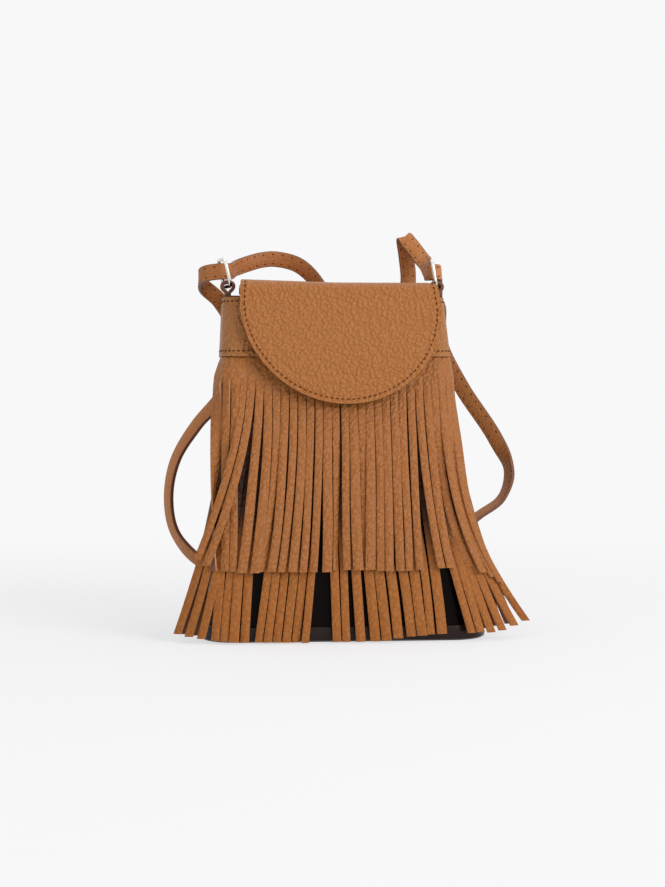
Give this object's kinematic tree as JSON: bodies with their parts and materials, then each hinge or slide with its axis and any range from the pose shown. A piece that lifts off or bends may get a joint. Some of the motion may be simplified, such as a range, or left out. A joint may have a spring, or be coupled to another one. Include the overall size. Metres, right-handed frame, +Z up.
{
  "type": "fringed leather crossbody bag",
  "caption": "Small crossbody bag that widens to a flat base, with a rounded front flap, tiers of slit fringe over a smooth dark body, wire rings at the top and a long thin strap.",
  "frame": {"origin": "on the ground under the middle of the bag: the middle of the base in X and of the bag's depth in Y, measured without the strap", "axes": "+Z up, the front with the flap faces -Y, +X to the right seen from the front"},
  "size_m": [0.2301, 0.1072, 0.2521],
  "materials": {
    "leather": "tan leather with a small raised pebble grain, half matt",
    "fringe": "the same tan pebbled leather with raw, paler cut edges",
    "strap": "tan leather, dark painted edges, two rows of brown stitches",
    "wall": "very dark brown, smooth and glossy",
    "board": "stiff fibre board, matt",
    "lining": "plain woven cotton, matt",
    "nickel": "polished nickel wire"
  },
  "bodies": {
    "body": {"yoke": "leather", "back_panel": "leather", "upper_fringe": "fringe", "lower_fringe": "fringe", "lower_wall": "wall", "base_panel": "wall", "base_band": "wall", "base_board": "board", "lining": "lining", "mouth_facing": "leather", "snap_socket": "nickel", "tab_left": "leather", "tab_right": "leather", "strap": "strap", "chape_left": "leather", "chape_right": "leather"},
    "flap": {"flap_outer": "leather", "flap_lining": "lining", "snap_stud": "nickel"},
    "left_ring": {"ring_left": "nickel"},
    "right_ring": {"ring_right": "nickel"}
  },
  "joints": [
    {"name": "flap_hinge", "type": "hinge", "parent": "body", "child": "flap", "pos_m": [-0.0045, 0.0399, 0.2121], "axis": [-1, 0, 0], "range_deg": [0, 75]},
    {"name": "left_ring_pivot", "type": "hinge", "parent": "body", "child": "left_ring", "pos_m": [-0.0695, 0.01, 0.2151], "axis": [0.156, -0.9878, 0], "range_deg": [-3, 3]},
    {"name": "right_ring_pivot", "type": "hinge", "parent": "body", "child": "right_ring", "pos_m": [0.0605, 0.01, 0.2151], "axis": [0.087, 0.9962, 0], "range_deg": [-3, 3]}
  ]
}
